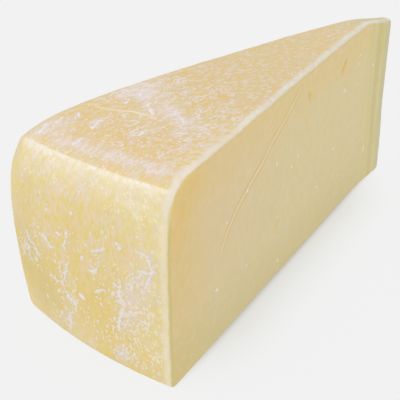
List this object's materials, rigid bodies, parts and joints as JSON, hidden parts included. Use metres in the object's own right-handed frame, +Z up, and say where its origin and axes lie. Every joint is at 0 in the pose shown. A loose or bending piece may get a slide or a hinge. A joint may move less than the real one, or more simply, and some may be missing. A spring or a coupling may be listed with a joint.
{
  "type": "hard cheese wedge",
  "caption": "Wedge of pale yellow hard cheese from a low round wheel: two smooth cut faces, a rounded rind shoulder and a blunt tip. It lies flat on its base.",
  "frame": {"origin": "on the surface that the wedge rests on, under the middle of its bounding box", "axes": "+Y towards the tip, -Y towards the rind, +Z up from the base to the top, X across between the two cut faces"},
  "size_m": [0.0806, 0.2024, 0.0859],
  "materials": {
    "cheese": null
  },
  "bodies": {
    "root": {"cheese_wedge": "cheese"}
  },
  "joints": []
}
